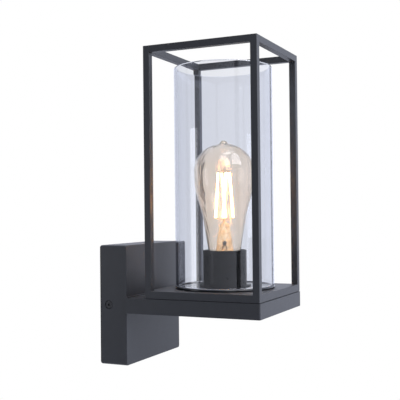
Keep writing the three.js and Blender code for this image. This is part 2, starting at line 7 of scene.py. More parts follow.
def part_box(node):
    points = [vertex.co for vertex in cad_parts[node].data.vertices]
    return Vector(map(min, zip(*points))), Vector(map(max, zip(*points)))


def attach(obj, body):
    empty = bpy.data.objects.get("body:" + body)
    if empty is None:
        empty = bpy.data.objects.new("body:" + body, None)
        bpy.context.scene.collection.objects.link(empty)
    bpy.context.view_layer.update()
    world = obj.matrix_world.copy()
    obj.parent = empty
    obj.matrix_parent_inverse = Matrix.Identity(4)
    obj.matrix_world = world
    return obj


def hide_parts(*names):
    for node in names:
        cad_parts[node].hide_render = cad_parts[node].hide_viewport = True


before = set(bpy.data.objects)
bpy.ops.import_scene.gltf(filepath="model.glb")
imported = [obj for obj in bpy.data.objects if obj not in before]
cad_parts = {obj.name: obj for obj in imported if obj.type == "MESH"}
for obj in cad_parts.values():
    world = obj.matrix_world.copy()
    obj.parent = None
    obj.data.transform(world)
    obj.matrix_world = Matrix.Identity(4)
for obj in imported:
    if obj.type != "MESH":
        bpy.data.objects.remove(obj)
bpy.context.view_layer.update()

mm = 0.001

# places from the frame
plateLow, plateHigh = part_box("base_plate")
tubeLow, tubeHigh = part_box("glass_cylinder")
axis = Vector(((tubeLow.x + tubeHigh.x) / 2, (tubeLow.y + tubeHigh.y) / 2, 0))
frameCorners = ("front_left", "front_right", "rear_left", "rear_right")

# holes that several pieces share
nippleHole = 5.3 * mm
screwHole = 2.3 * mm


def middleOf(node):
    low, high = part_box(node)
    return tuple((a + b) / 2 for a, b in zip(low, high))


# small helpers
def toObjectMode():
    if bpy.context.mode != "OBJECT":
        bpy.ops.object.mode_set(mode="OBJECT")


def selectNothing():
    toObjectMode()
    bpy.ops.object.select_all(action="DESELECT")


def onlySelect(piece):
    selectNothing()
    piece.select_set(True)
    bpy.context.view_layer.objects.active = piece


def nameActive(name):
    piece = bpy.context.object
    piece.name = name
    piece.data.name = name
    return piece


def applyPlace(piece):
    onlySelect(piece)
    bpy.ops.object.transform_apply(location=True, rotation=True, scale=True)


def applyModifier(piece, kind, **settings):
    onlySelect(piece)
    modifier = piece.modifiers.new(kind.title(), kind)
    for key, value in settings.items():
        setattr(modifier, key, value)
    bpy.ops.object.modifier_apply(modifier=modifier.name)


def editPiece(piece, mode="FACE"):
    onlySelect(piece)
    bpy.ops.object.mode_set(mode="EDIT")
    bpy.ops.mesh.select_mode(type=mode)
    bpy.ops.mesh.select_all(action="DESELECT")


def pick(piece, kind, test):
    # selects the faces, edges or vertices of the piece in edit mode that pass the test
    mesh = bmesh.from_edit_mesh(piece.data)
    parts = {"faces": mesh.faces, "edges": mesh.edges, "verts": mesh.verts}[kind]
    for part in parts:
        part.select_set(False)
    found = [part for part in parts if test(part)]
    for part in found:
        part.select_set(True)
    bmesh.update_edit_mesh(piece.data)


def edgeMiddle(edge):
    return (edge.verts[0].co + edge.verts[1].co) / 2


def addBlock(name, low, high):
    # a cube at its size and place, still to be shaped
    selectNothing()
    low, high = Vector(low), Vector(high)
    bpy.ops.mesh.primitive_cube_add(size=1, location=(low + high) / 2)
    piece = nameActive(name)
    piece.scale = high - low
    applyPlace(piece)
    return piece


def addRod(name, start, end, radius, sides=32):
    selectNothing()
    start, end = Vector(start), Vector(end)
    along = end - start
    bpy.ops.mesh.primitive_cylinder_add(
        vertices=sides, radius=radius, depth=along.length, location=(start + end) / 2
    )
    piece = nameActive(name)
    piece.rotation_mode = "QUATERNION"
    piece.rotation_quaternion = along.to_track_quat("Z", "Y")
    applyPlace(piece)
    return piece


def combine(piece, others, operation):
    for other in others:
        applyModifier(piece, "BOOLEAN", operation=operation, object=other, solver="EXACT")
        bpy.data.objects.remove(other)


def tidyFaces(piece):
    editPiece(piece, "VERT")
    bpy.ops.mesh.select_all(action="SELECT")
    bpy.ops.mesh.remove_doubles(threshold=1e-6)
    bpy.ops.mesh.normals_make_consistent(inside=False)
    toObjectMode()


def soften(piece, width, segments=3, angle=35):
    # rounds the edges that are sharper than the angle
    applyModifier(
        piece,
        "BEVEL",
        width=width,
        segments=segments,
        limit_method="ANGLE",
        angle_limit=math.radians(angle),
        use_clamp_overlap=True,
        miter_outer="MITER_ARC",
    )


def smooth(piece, angle=32):
    # big flat faces keep their own normals, so only the rounded edges shade round
    onlySelect(piece)
    bpy.ops.object.shade_smooth_by_angle(angle=math.radians(angle))
    applyModifier(piece, "WEIGHTED_NORMAL", keep_sharp=True, weight=100)


def turnPiece(name, centre, profile, sides=96, closed=False):
    # a turned piece: a circle is extruded and scaled from one [radius, height] to the next
    selectNothing()
    centre = Vector(centre)
    radius, height = profile[0]
    bpy.ops.mesh.primitive_circle_add(
        vertices=sides, radius=radius, location=centre + Vector((0, 0, height))
    )
    piece = nameActive(name)
    applyPlace(piece)
    editPiece(piece, "VERT")
    bpy.ops.mesh.select_all(action="SELECT")
    if not closed:
        bpy.ops.mesh.edge_face_add()
    for nextRadius, nextHeight in profile[1:]:
        step = (0, 0, nextHeight - height)
        bpy.ops.mesh.extrude_edges_move(TRANSFORM_OT_translate={"value": step})
        if nextRadius == 0:
            bpy.ops.mesh.merge(type="CENTER")
            break
        scale = nextRadius / radius
        middle = centre + Vector((0, 0, nextHeight))
        bpy.ops.transform.resize(value=(scale, scale, 1), center_override=middle)
        radius, height = nextRadius, nextHeight
    else:
        if not closed:
            bpy.ops.mesh.edge_face_add()
    toObjectMode()
    tidyFaces(piece)
    return piece


wireShape = {"roundness": 1, "steps": 10}


def wirePiece(name, points, radius):
    # round wire along a curve, made a mesh with closed ends
    curveData = bpy.data.curves.new(name, "CURVE")
    curveData.dimensions = "3D"
    curveData.bevel_depth = radius
    curveData.bevel_resolution = wireShape["roundness"]
    curveData.use_fill_caps = True
    curveData.resolution_u = wireShape["steps"]
    spline = curveData.splines.new("NURBS")
    spline.points.add(len(points) - 1)
    for place, point in zip(points, spline.points):
        point.co = (*place, 1)
    spline.order_u = min(4, len(points))
    spline.use_endpoint_u = True
    piece = bpy.data.objects.new(name, curveData)
    bpy.context.scene.collection.objects.link(piece)
    onlySelect(piece)
    bpy.ops.object.convert(target="MESH")
    piece = bpy.context.object
    tidyFaces(piece)
    return piece


def copyPiece(piece, name, place):
    # a copy with a mesh of its own, put in its place by a matrix
    onlySelect(piece)
    bpy.ops.object.duplicate()
    copy = nameActive(name)
    copy.matrix_world = place
    applyPlace(copy)
    return copy


def joinPieces(name, pieces):
    selectNothing()
    for piece in pieces:
        piece.select_set(True)
    bpy.context.view_layer.objects.active = pieces[0]
    if len(pieces) > 1:
        bpy.ops.object.join()
    return nameActive(name)


def finishPiece(piece, body, material, nodes=()):
    piece.data.materials.clear()
    piece.data.materials.append(material)
    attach(piece, body)
    if nodes:
        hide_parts(*nodes)
    return piece


# materials
def toLinear(hexColour, alpha=1.0):
    parts = [int(hexColour[i : i + 2], 16) / 255 for i in (1, 3, 5)]
    return tuple(c / 12.92 if c <= 0.04045 else ((c + 0.055) / 1.055) ** 2.4 for c in parts) + (alpha,)


def addNode(tree, kind, inputs=None, **settings):
    # an input goes by its name or its number: 6 and 7 are a colour Mix's two colours and its output 2
    # is the mix, and 1 to 4 are a Map Range's two ends before and after
    node = tree.nodes.new(kind)
    for key, value in settings.items():
        setattr(node, key, value)
    for key, value in (inputs or {}).items():
        if isinstance(value, bpy.types.NodeSocket):
            tree.links.new(value, node.inputs[key])
        else:
            node.inputs[key].default_value = value
    return node


def startMaterial(name, **values):
    # a Principled surface whose even values stand on its own sockets
    material = bpy.data.materials.new(name)
    material.use_nodes = True
    tree = material.node_tree
    shader = tree.nodes["Principled BSDF"]
    for key, value in values.items():
        shader.inputs[key.replace("_", " ")].default_value = value
    place = addNode(tree, "ShaderNodeTexCoord").outputs["Object"]
    return material, tree, shader, place


def powderCoat(name, dark, light, rough):
    # polyester powder coat, cured on steel: an even dark grey with a soft sheen and a fine orange peel
    material, tree, shader, place = startMaterial(name, IOR=1.5)
    cloud = addNode(tree, "ShaderNodeTexNoise", {"Vector": place, "Scale": 1 / (9 * mm), "Detail": 3})
    # real peel is 0.2 to 0.4 mm across, drawn at 0.55 mm so that it shows
    peel = addNode(tree, "ShaderNodeTexNoise", {"Vector": place, "Scale": 1 / (0.55 * mm), "Detail": 2})
    shade = addNode(
        tree,
        "ShaderNodeMix",
        {"Factor": cloud.outputs["Fac"], 6: toLinear(dark), 7: toLinear(light)},
        data_type="RGBA",
    )
    gloss = addNode(
        tree,
        "ShaderNodeMapRange",
        {"Value": peel.outputs["Fac"], 1: 0.3, 2: 0.7, 3: rough - 0.05, 4: rough + 0.07},
    )
    skin = addNode(
        tree,
        "ShaderNodeBump",
        {"Height": peel.outputs["Fac"], "Strength": 0.18, "Distance": 0.05 * mm},
    )
    tree.links.new(shade.outputs[2], shader.inputs["Base Color"])
    tree.links.new(gloss.outputs["Result"], shader.inputs["Roughness"])
    tree.links.new(skin.outputs["Normal"], shader.inputs["Normal"])
    return material


tubeGlassSet = {"colour": "#AEB8D2", "density": 130, "wave": 26 * mm}


def clearTube():
    # drawn borosilicate tube: clear face on, grey-lilac along its rims, with long soft drawing waves
    material, tree, shader, place = startMaterial(
        "borosilicateTube", IOR=1.47, Transmission_Weight=1.0, Roughness=0.0
    )
    shader.inputs["Base Color"].default_value = (1, 1, 1, 1)
    # light is taken up on its way through the wall, so rims seen along their length are darker
    depthTint = addNode(
        tree,
        "ShaderNodeVolumeAbsorption",
        {"Color": toLinear(tubeGlassSet["colour"]), "Density": tubeGlassSet["density"]},
    )
    tree.links.new(depthTint.outputs["Volume"], tree.nodes["Material Output"].inputs["Volume"])
    drawn = addNode(tree, "ShaderNodeMapping", {"Vector": place, "Scale": (1, 1, 0.12)})
    waves = addNode(
        tree,
        "ShaderNodeTexNoise",
        {"Vector": drawn.outputs["Vector"], "Scale": 1 / tubeGlassSet["wave"], "Detail": 1},
    )
    skin = addNode(
        tree,
        "ShaderNodeBump",
        {"Height": waves.outputs["Fac"], "Strength": 0.02, "Distance": 0.4 * mm},
    )
    tree.links.new(skin.outputs["Normal"], shader.inputs["Normal"])
    return material


bulbGlassSet = {"colour": "#E0C27A", "density": 215, "clear": 0.988, "streak": 6 * mm}


def amberGlass():
    # blown soda-lime bulb glass with a thin amber film, which scatters a little of the filaments' light
    material, tree, shader, place = startMaterial(
        "amberBulbGlass", IOR=1.45, Transmission_Weight=bulbGlassSet["clear"], Roughness=0.0
    )
    depthTint = addNode(
        tree,
        "ShaderNodeVolumeAbsorption",
        {"Color": toLinear(bulbGlassSet["colour"]), "Density": bulbGlassSet["density"]},
    )
    tree.links.new(depthTint.outputs["Volume"], tree.nodes["Material Output"].inputs["Volume"])
    cloud = addNode(tree, "ShaderNodeTexNoise", {"Vector": place, "Scale": 1 / (40 * mm), "Detail": 1})
    film = addNode(
        tree,
        "ShaderNodeMix",
        {"Factor": cloud.outputs["Fac"], 6: toLinear("#FFF9F0"), 7: toLinear("#FFFFFF")},
        data_type="RGBA",
    )
    # blowing leaves long upright streaks that run round the axis
    upright = addNode(
        tree,
        "ShaderNodeMapping",
        {"Vector": place, "Location": -axis, "Scale": (1, 1, 0.14)},
    )
    streaks = addNode(
        tree,
        "ShaderNodeTexNoise",
        {"Vector": upright.outputs["Vector"], "Scale": 1 / bulbGlassSet["streak"], "Detail": 1},
    )
    skin = addNode(
        tree,
        "ShaderNodeBump",
        {"Height": streaks.outputs["Fac"], "Strength": 0.6, "Distance": 1.0 * mm},
    )
    tree.links.new(film.outputs[2], shader.inputs["Base Color"])
    tree.links.new(skin.outputs["Normal"], shader.inputs["Normal"])
    return material


def stemGlass():
    # pinched lead glass of the stem: not quite clear, so it takes up the warm light above it; its cream-amber
    # colour is painted glow from the filaments, over folds whose tone differs at random
    material, tree, shader, place = startMaterial(
        "stemGlass", IOR=1.5, Transmission_Weight=0.72, Roughness=0.08
    )
    drawn = addNode(tree, "ShaderNodeMapping", {"Vector": place, "Scale": (1, 1, 0.3)})
    fold = addNode(
        tree,
        "ShaderNodeTexNoise",
        {"Vector": drawn.outputs["Vector"], "Scale": 1 / (3.5 * mm), "Detail": 2, "Distortion": 0.8},
    )
    contrast = addNode(
        tree, "ShaderNodeMapRange", {"Value": fold.outputs["Fac"], 1: 0.35, 2: 0.65, 3: 0.0, 4: 1.0}
    )
    # painted glow: the filaments' warmth is laid into the stem's colour, varied by the folds
    foldsAndPaintedGlow = addNode(
        tree,
        "ShaderNodeMix",
        {"Factor": contrast.outputs["Result"], 6: toLinear("#EBC285"), 7: toLinear("#FFF4DE")},
        data_type="RGBA",
    )
    pinch = addNode(
        tree,
        "ShaderNodeBump",
        {"Height": fold.outputs["Fac"], "Strength": 0.6, "Distance": 1.0 * mm},
    )
    tree.links.new(foldsAndPaintedGlow.outputs[2], shader.inputs["Base Color"])
    tree.links.new(pinch.outputs["Normal"], shader.inputs["Normal"])
    return material


def glowingFilament():
    # phosphor-coated LED filament: a warm glow with the phosphor's fine unevenness
    material, tree, shader, place = startMaterial(
        "phosphorFilament", Roughness=0.5, Emission_Strength=30.0
    )
    shader.inputs["Base Color"].default_value = toLinear("#FFD79A")
    grain = addNode(tree, "ShaderNodeTexNoise", {"Vector": place, "Scale": 1 / (1.2 * mm), "Detail": 1})
    glow = addNode(
        tree,
        "ShaderNodeMix",
        {"Factor": grain.outputs["Fac"], 6: toLinear("#FFA552"), 7: toLinear("#FFC27C")},
        data_type="RGBA",
    )
    tree.links.new(glow.outputs[2], shader.inputs["Emission Color"])
    return material


def grainedFinish(name, dark, light, rough, grainSize, depth=0.04 * mm, **values):
    # an even finish whose shade, gloss and surface all follow one grain of real size
    material, tree, shader, place = startMaterial(name, **values)
    grain = addNode(tree, "ShaderNodeTexNoise", {"Vector": place, "Scale": 1 / grainSize, "Detail": 3})
    shade = addNode(
        tree,
        "ShaderNodeMix",
        {"Factor": grain.outputs["Fac"], 6: toLinear(dark), 7: toLinear(light)},
        data_type="RGBA",
    )
    gloss = addNode(
        tree,
        "ShaderNodeMapRange",
        {"Value": grain.outputs["Fac"], 1: 0.3, 2: 0.7, 3: rough - 0.06, 4: rough + 0.08},
    )
    skin = addNode(
        tree,
        "ShaderNodeBump",
        {"Height": grain.outputs["Fac"], "Strength": 0.18, "Distance": depth},
    )
    tree.links.new(shade.outputs[2], shader.inputs["Base Color"])
    tree.links.new(gloss.outputs["Result"], shader.inputs["Roughness"])
    tree.links.new(skin.outputs["Normal"], shader.inputs["Normal"])
    return material


print("materials")
coat = powderCoat("powderCoatAnthracite", "#15171B", "#1C1E23", 0.46)
# blackened steel of the side screws, a little glossier than the coat round them
screwCoat = powderCoat("blackenedScrew", "#111214", "#191A1D", 0.4)
tubeGlass = clearTube()
bulbGlass = amberGlass()
leadGlass = stemGlass()
filamentGlow = glowingFilament()
# zinc-plated steel: a cool grey with faint spangle and rolling marks
zincPlate = grainedFinish("zincPlatedSteel", "#8C9094", "#B4B8BC", 0.42, 5 * mm, Metallic=1.0)
# A2 stainless, bright but fine-ground
stainless = grainedFinish("stainlessSteel", "#A9ACB0", "#C9CBCE", 0.3, 0.7 * mm, Metallic=1.0)
# nickel-plated wire inside the bulb, its grey tinted warm as painted glow from the filaments round it
nickelWirePaintedGlow = grainedFinish("nickelWirePaintedGlow", "#8E8578", "#B3A794", 0.28, 0.8 * mm, Metallic=1.0)
# rolled brass cap and contacts, slightly dulled
brass = grainedFinish("rolledBrass", "#A98A4E", "#CBAA66", 0.3, 2.5 * mm, Metallic=1.0)
# bakelite-like thermoset, black with a low gloss
thermoset = grainedFinish("blackThermoset", "#141416", "#1D1D20", 0.45, 1.2 * mm, IOR=1.5)
# silicone rubber: black, soft and matt
silicone = grainedFinish("siliconeRubber", "#0F0F10", "#19191A", 0.75, 0.9 * mm, 0.06 * mm, Sheen_Weight=0.15)
# polyamide terminal block, an ivory with a waxy gloss
nylon = grainedFinish("polyamideBlock", "#D9D5C8", "#E6E3DA", 0.5, 1.2 * mm, IOR=1.5)
# PVC sleeves of the three leads: smooth, with a soft gloss
brownSleeve = grainedFinish("brownSleeve", "#4A2A17", "#5A3420", 0.4, 1.2 * mm, IOR=1.5)
blueSleeve = grainedFinish("blueSleeve", "#1F4697", "#2A55AD", 0.4, 1.2 * mm, IOR=1.5)
greenSleeve = grainedFinish("greenSleeve", "#4E8F2B", "#63A338", 0.4, 1.2 * mm, IOR=1.5)
# dark lead-glass bead, nearly black
beadGlass = grainedFinish("darkBeadGlass", "#0A0604", "#120A06", 0.35, 1.2 * mm, IOR=1.5)
# satin black enamel of the lampholder cover, smoother and deeper than the powder coat
satinEnamel = grainedFinish(
    "satinBlackEnamel", "#020203", "#050507", 0.2, 2 * mm, 0.02 * mm, Specular_IOR_Level=0.15
)
# the round seat is enamelled smooth, so a low view of it mirrors the room
smoothCoat = grainedFinish("smoothEnamelAnthracite", "#17191D", "#1E2025", 0.12, 2 * mm, 0.01 * mm)
# clear silicone of the ring under the glass, painted an opaque grey that stands in for the dark seat and
# shade seen through it
clearSilicone = grainedFinish("clearSilicone", "#464950", "#555960", 0.45, 2 * mm, 0.02 * mm, IOR=1.41)

# camera, light and floor
print("camera and light")
cameraSet = {
    "place": (-0.7651, -0.4452, 0.0980),
    "azimuth": -65.04,
    "elevation": -0.77,
    "roll": -0.59,
    "lens": 70.3,
}


def placeCamera():
    turn, tilt, lean = (math.radians(cameraSet[k]) for k in ("azimuth", "elevation", "roll"))
    back = Vector((math.sin(turn) * math.cos(tilt), -math.cos(turn) * math.cos(tilt), math.sin(tilt)))
    right = Vector((0, 0, 1)).cross(back).normalized()
    up = back.cross(right)
    leanRight = right * math.cos(lean) + up * math.sin(lean)
    leanUp = up * math.cos(lean) - right * math.sin(lean)
    data = bpy.data.cameras.new("mainCamera")
    data.lens = cameraSet["lens"]
    data.sensor_width = 36
    camera = bpy.data.objects.new("mainCamera", data)
    bpy.context.scene.collection.objects.link(camera)
    turned = Matrix((leanRight, leanUp, back)).transposed().to_4x4()
    camera.matrix_world = Matrix.Translation(cameraSet["place"]) @ turned
    bpy.context.scene.camera = camera


placeCamera()

lightSet = {
    "background": (1.0, 1.0, 1.0),
    "room": "#DFE4F5",
    "towards": (0.75, -0.55, 0.15),  # the room is bright this way and dim the other way
    "dim": 0.3,
    "bright": 1.7,
    "aimHeight": 0.15,
    "boxPlace": (-0.30, -0.69, 1.04),
    "boxSize": 1.3,
    "boxPower": 34.0,
    "rearPlace": (-0.75, 0.75, 0.1),
    "rearSize": 0.4,
    "rearPower": 1.4,
}


def setWorld():
    # white as seen by the eye and through glass, a soft pale room for all other rays
    world = bpy.data.worlds.new("studio")
    bpy.context.scene.world = world
    world.use_nodes = True
    tree = world.node_tree
    tree.nodes.clear()
    path = addNode(tree, "ShaderNodeLightPath")
    seen = addNode(
        tree,
        "ShaderNodeMath",
        {0: path.outputs["Is Camera Ray"], 1: path.outputs["Is Transmission Ray"]},
        operation="MAXIMUM",
    )
    direction = addNode(tree, "ShaderNodeTexCoord").outputs["Generated"]
    towards = addNode(
        tree, "ShaderNodeVectorMath", {0: direction, 1: lightSet["towards"]}, operation="DOT_PRODUCT"
    ).outputs["Value"]
    strength = addNode(
        tree,
        "ShaderNodeMapRange",
        {"Value": towards, 1: -0.75, 2: 0.75, 3: lightSet["dim"], 4: lightSet["bright"]},
    ).outputs["Result"]
    room = addNode(
        tree,
        "ShaderNodeBackground",
        {"Color": toLinear(lightSet["room"]), "Strength": strength},
    )
    white = addNode(tree, "ShaderNodeBackground", {"Color": (*lightSet["background"], 1), "Strength": 1.0})
    mixed = addNode(
        tree,
        "ShaderNodeMixShader",
        {0: seen.outputs[0], 1: room.outputs[0], 2: white.outputs[0]},
    )
    addNode(tree, "ShaderNodeOutputWorld", {"Surface": mixed.outputs[0]})


def addSoftLight(name, place, target, size, power):
    data = bpy.data.lights.new(name, "AREA")
    data.shape = "SQUARE"
    data.size = size
    data.energy = power
    light = bpy.data.objects.new(name, data)
    light.location = place
    light.rotation_euler = (Vector(target) - Vector(place)).to_track_quat("-Z", "Y").to_euler()
    bpy.context.scene.collection.objects.link(light)
    light.visible_camera = False


setWorld()
aim = axis + Vector((0, 0, lightSet["aimHeight"]))
for name, kind in (("softbox", "box"), ("rearLight", "rear")):
    addSoftLight(name, lightSet[kind + "Place"], aim, lightSet[kind + "Size"], lightSet[kind + "Power"])
bpy.context.scene.view_settings.view_transform = "Standard"

floorSet = {"height": -0.45, "size": 3.0, "colour": "#C4C6CC"}


def addFloor():
    selectNothing()
    bpy.ops.mesh.primitive_plane_add(size=floorSet["size"], location=(0, 0, floorSet["height"]))
    floor = nameActive("floor")
    material, tree, shader = startMaterial("paleFloor", Roughness=0.9)[:3]
    shader.inputs["Base Color"].default_value = toLinear(floorSet["colour"])
    # seen straight or through glass the floor is as white as the backdrop
    path = addNode(tree, "ShaderNodeLightPath")
    seen = addNode(
        tree,
        "ShaderNodeMath",
        {0: path.outputs["Is Camera Ray"], 1: path.outputs["Is Transmission Ray"]},
        operation="MAXIMUM",
    )
    white = addNode(tree, "ShaderNodeEmission", {"Color": (1, 1, 1, 1), "Strength": 1.0})
    mixed = addNode(
        tree,
        "ShaderNodeMixShader",
        {0: seen.outputs[0], 1: shader.outputs[0], 2: white.outputs[0]},
    )
    tree.links.new(mixed.outputs[0], tree.nodes["Material Output"].inputs["Surface"])
    floor.data.materials.append(material)


addFloor()

# wall box
print("wall box")
boxSet = {
    "wall": 2.0 * mm,
    "corner": 2.5 * mm,
    "edge": 0.7 * mm,
    "recess": 4.5 * mm,
    "boss": 7 * mm,
    "bossDepth": 4 * mm,
    "sideHole": 2.7 * mm,
    "cableHole": 7 * mm,
    "drain": 3 * mm,
}


def makeWallBox():
    low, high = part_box("canopy_housing")
    screwY = middleOf("side_screw_left")[1]
    box = addBlock("wall_box", low, high)
    editPiece(box, "EDGE")
    pick(box, "edges", lambda e: abs(e.verts[0].co.y - e.verts[1].co.y) > mm)
    bpy.ops.mesh.bevel(offset=boxSet["corner"], segments=6, affect="EDGES")
    bpy.ops.mesh.select_mode(type="FACE")
    pick(box, "faces", lambda f: f.normal.y > 0.9)
    bpy.ops.mesh.delete(type="FACE")
    toObjectMode()
    applyModifier(box, "SOLIDIFY", thickness=boxSet["wall"], offset=-1, use_even_offset=True)
    editPiece(box, "EDGE")
    pick(
        box,
        "edges",
        lambda e: all(v.co.y < low.y + 1e-5 for v in e.verts)
        and max(f.calc_center_median().y for f in e.link_faces) > low.y + 5 * mm,
    )
    bpy.ops.mesh.bevel(offset=boxSet["edge"], segments=4, affect="EDGES")
    toObjectMode()
    bosses = []
    cuts = []
    for side in (-1, 1):
        outer = side * high.x
        inside = side * (high.x - boxSet["wall"])
        bossStart = (inside + side * mm, screwY, 0)
        bossEnd = (inside - side * boxSet["bossDepth"], screwY, 0)
        bosses.append(addRod("boss", bossStart, bossEnd, boxSet["boss"], 48))
        recess = addRod(
            "cut", (outer + side * mm, screwY, 0), (outer - side * 3 * mm, screwY, 0), boxSet["recess"], 48
        )
        shank = addRod("cut", (outer, screwY, 0), (outer - side * 9 * mm, screwY, 0), boxSet["sideHole"], 32)
        cuts += [recess, shank]
        armX = side * middleOf("arm_screw_right")[0]
        cuts.append(addRod("cut", (armX, low.y - mm, 0), (armX, low.y + 4 * mm, 0), screwHole, 24))
    cuts.append(addRod("cut", (0, low.y - mm, 0), (0, low.y + 4 * mm, 0), boxSet["cableHole"], 40))
    half = boxSet["drain"]
    drain = addBlock("cut", (-half, high.y - 3.7 * mm, low.z - mm), (half, high.y + mm, low.z + 3 * mm))
    combine(box, bosses, "UNION")
    combine(box, cuts + [drain], "DIFFERENCE")
    editPiece(box, "EDGE")
    pick(
        box,
        "edges",
        lambda e: all(
            abs(abs(v.co.x) - high.x) < 1e-5
            and abs((v.co - Vector((v.co.x, screwY, 0))).length - boxSet["recess"]) < 0.1 * mm
            for v in e.verts
        ),
    )
    bpy.ops.mesh.bevel(offset=0.15 * mm, segments=2, affect="EDGES")
    toObjectMode()
    smooth(box)
    finishPiece(box, "lantern", coat, ["canopy_housing"])


makeWallBox()

# arm tray
print("arm tray")
traySet = {
    "wall": 2.0 * mm,
    "lip": 1.2 * mm,
    "upright": 1.5 * mm,
    "edge": 0.45 * mm,
    "cableHole": 5.5 * mm,
}


def makeTray():
    low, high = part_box("base_tray")
    top = high.z - traySet["lip"]
    tray = addBlock("arm_tray", low, (high.x, high.y, top))
    editPiece(tray, "EDGE")
    pick(
        tray,
        "edges",
        lambda e: abs(e.verts[0].co.z - e.verts[1].co.z) > mm and edgeMiddle(e).y < low.y + mm,
    )
    bpy.ops.mesh.bevel(offset=traySet["upright"], segments=5, affect="EDGES")
    # the rear lip: a strip of the top face is split off and raised
    bpy.ops.mesh.select_all(action="SELECT")
    bpy.ops.mesh.bisect(plane_co=(0, high.y - traySet["wall"], 0), plane_no=(0, 1, 0))
    bpy.ops.mesh.select_mode(type="FACE")
    pick(
        tray,
        "faces",
        lambda f: f.normal.z > 0.9 and f.calc_center_median().y > high.y - traySet["wall"],
    )
    bpy.ops.mesh.extrude_region_move(TRANSFORM_OT_translate={"value": (0, 0, traySet["lip"])})
    # the hollow underneath
    pick(tray, "faces", lambda f: f.normal.z < -0.9)
    bpy.ops.mesh.dissolve_faces()
    pick(tray, "faces", lambda f: f.normal.z < -0.9)
    bpy.ops.mesh.inset(thickness=traySet["wall"], use_boundary=True)
    depth = top - low.z - traySet["wall"]
    bpy.ops.mesh.extrude_region_move(TRANSFORM_OT_translate={"value": (0, 0, depth)})
    toObjectMode()
    soften(tray, traySet["edge"], 3)
    cuts = [
        addRod("cut", (0, high.y + mm, 0), (0, high.y - 3 * mm, 0), traySet["cableHole"], 40),
        addRod("cut", (axis.x, axis.y, 0), (axis.x, axis.y, top + mm), nippleHole, 40),
    ]
    for side in (-1, 1):
        armX = side * middleOf("arm_screw_right")[0]
        cuts.append(addRod("cut", (armX, high.y + mm, 0), (armX, high.y - 3 * mm, 0), screwHole, 24))
    for corner in frameCorners:
        x, y, z = middleOf("frame_screw_" + corner)
        cuts.append(addRod("cut", (x, y, 0), (x, y, top + mm), screwHole, 24))
    combine(tray, cuts, "DIFFERENCE")
    smooth(tray)
    finishPiece(tray, "lantern", coat, ["base_tray"])


makeTray()


coverSet = {"edge": 0.4 * mm, "hole": 2.0 * mm}


def makeBottomCover():
    low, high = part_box("bottom_cover")
    cover = addBlock("tray_cover", low, high)
    soften(cover, coverSet["edge"], 2)
    cuts = []
    for i in range(1, 5):
        x, y, z = middleOf(f"cover_screw_{i}")
        cuts.append(addRod("cut", (x, y, low.z - mm), (x, y, high.z + mm), coverSet["hole"], 24))
    combine(cover, cuts, "DIFFERENCE")
    smooth(cover)
    finishPiece(cover, "lantern", coat, ["bottom_cover"])


makeBottomCover()

# open frame
print("frame")
frameSet = {
    "sheet": 2.0 * mm,
    "edge": 0.25 * mm,
    "seam": 0.4 * mm,
    "nippleBoss": 9 * mm,
    "screwBoss": 5 * mm,
    "skin": 1.8 * mm,  # what is left over each screw hole
}


def makeFrame():
    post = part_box("post_front_left")
    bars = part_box("top_bar_left")
    size = post[1].x - post[0].x
    half = plateHigh.x
    bottom = plateLow.z + frameSet["seam"]
    body = addBlock("lantern_frame", (plateLow.x, plateLow.y, bottom), plateHigh)
    editPiece(body)
    for side in (-1, 1):
        bpy.ops.mesh.select_all(action="SELECT")
        bpy.ops.mesh.bisect(plane_co=(side * (half - size), 0, 0), plane_no=(1, 0, 0))
        bpy.ops.mesh.select_all(action="SELECT")
        bpy.ops.mesh.bisect(plane_co=(0, axis.y + side * (half - size), 0), plane_no=(0, 1, 0))

    def isCorner(place):
        return abs(place.x) > half - size and abs(place.y - axis.y) > half - size

    pick(body, "faces", lambda f: f.normal.z > 0.9 and isCorner(f.calc_center_median()))
    bpy.ops.mesh.extrude_region_move(TRANSFORM_OT_translate={"value": (0, 0, bars[0].z - plateHigh.z)})
    bpy.ops.mesh.extrude_region_move(TRANSFORM_OT_translate={"value": (0, 0, size)})
    # the bars are bridged from corner block to corner block
    for alongX in (True, False):
        for side in (-1, 1):

            def faces(f):
                place = f.calc_center_median() - axis
                run, across = (place.x, place.y) if alongX else (place.y, place.x)
                facing = abs(f.normal.x if alongX else f.normal.y) > 0.9
                inner = abs(abs(run) - (half - size)) < 0.1 * mm
                return facing and inner and across * side > half - size and place.z > bars[0].z

            pick(body, "faces", faces)
            bpy.ops.mesh.bridge_edge_loops()
    # the hollow under the plate
    pick(body, "faces", lambda f: f.normal.z < -0.9 and f.calc_center_median().z < plateLow.z + 2 * mm)
    bpy.ops.mesh.inset(thickness=frameSet["sheet"], use_boundary=True)
    depth = plateHigh.z - frameSet["sheet"] - bottom
    bpy.ops.mesh.extrude_region_move(TRANSFORM_OT_translate={"value": (0, 0, depth)})
    toObjectMode()
    tidyFaces(body)
    soften(body, frameSet["edge"], 3)
    x, y = axis.x, axis.y
    bosses = [addRod("boss", (x, y, plateLow.z), (x, y, plateHigh.z - mm), frameSet["nippleBoss"], 48)]
    holes = [addRod("cut", (x, y, plateLow.z - mm), (x, y, plateHigh.z + mm), nippleHole, 48)]
    for corner in frameCorners:
        x, y, z = middleOf("frame_screw_" + corner)
        bosses.append(addRod("boss", (x, y, plateLow.z), (x, y, plateHigh.z - mm), frameSet["screwBoss"], 32))
        roof = plateHigh.z - frameSet["skin"]
        holes.append(addRod("cut", (x, y, plateLow.z - mm), (x, y, roof), screwHole, 24))
    combine(body, bosses, "UNION")
    combine(body, holes, "DIFFERENCE")
    smooth(body)
    nodes = ["base_plate"] + ["top_bar_" + side for side in ("left", "right", "front", "rear")]
    nodes += ["post_" + corner for corner in frameCorners]
    finishPiece(body, "lantern", coat, nodes)


makeFrame()

# glass, its seat and its ring
print("glass")
tubeSet = {"wall": 2.6 * mm, "rim": 0.9 * mm, "sides": 160}


